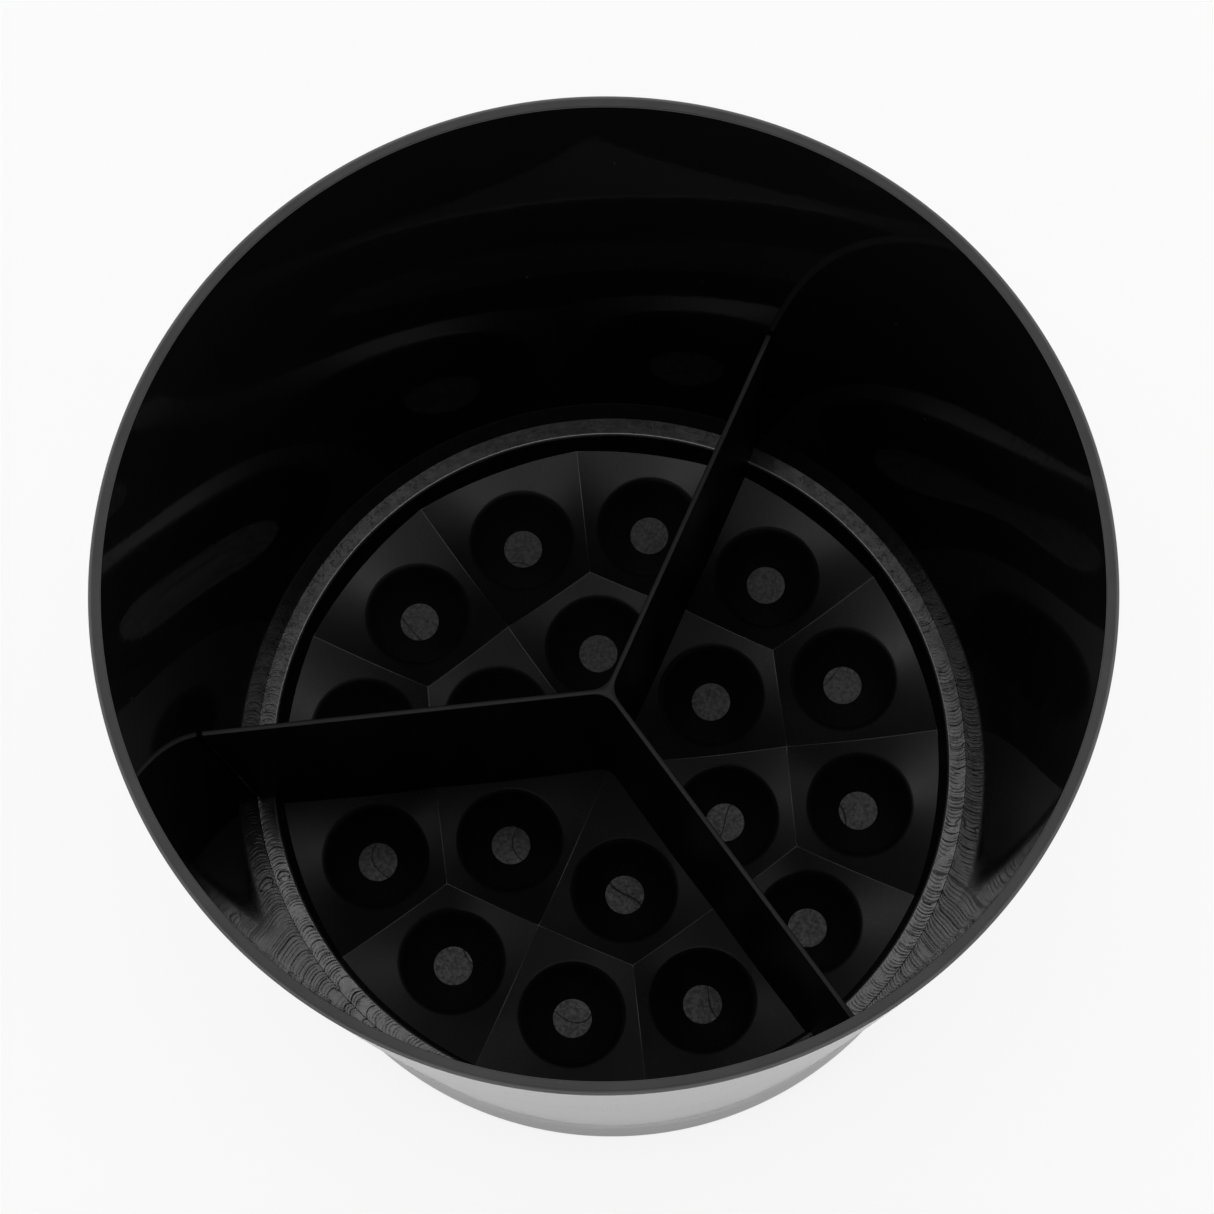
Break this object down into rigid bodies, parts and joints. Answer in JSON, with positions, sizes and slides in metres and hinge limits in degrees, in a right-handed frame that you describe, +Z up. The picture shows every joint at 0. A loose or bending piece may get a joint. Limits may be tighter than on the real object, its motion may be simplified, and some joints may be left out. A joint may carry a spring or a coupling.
{
  "type": "tool storage caddy",
  "caption": "Round tapered black plastic desk caddy for hobby tools, with a drop-in tray of funnel pockets in its floor and a lift-out three-wing divider.",
  "frame": {"origin": "on the desk, at the centre of the barrel's base", "axes": "+Z up along the barrel's axis; one wing of the divider points to -X; the picture looks from -Y"},
  "size_m": [0.116, 0.116, 0.121],
  "materials": {
    "barrel_gloss": "polished black moulding",
    "tray_satin": "satin black moulding with matte flats",
    "divider_satin": "satin black moulding",
    "pad_rubber": "black rubber"
  },
  "bodies": {
    "barrel": {"barrel": "barrel_gloss", "foot_pad_1": "pad_rubber", "foot_pad_2": "pad_rubber", "foot_pad_3": "pad_rubber", "foot_pad_4": "pad_rubber", "foot_pad_5": "pad_rubber", "foot_pad_6": "pad_rubber"},
    "tray": {"pocket_tray": "tray_satin"},
    "divider": {"divider": "divider_satin"}
  },
  "joints": [
    {"name": "tray_lift", "type": "slide", "parent": "barrel", "child": "tray", "axis": [0, 0, 1], "range_m": [0, 0.115]},
    {"name": "divider_lift", "type": "slide", "parent": "tray", "child": "divider", "axis": [0, 0, 1], "range_m": [0, 0.108]}
  ]
}
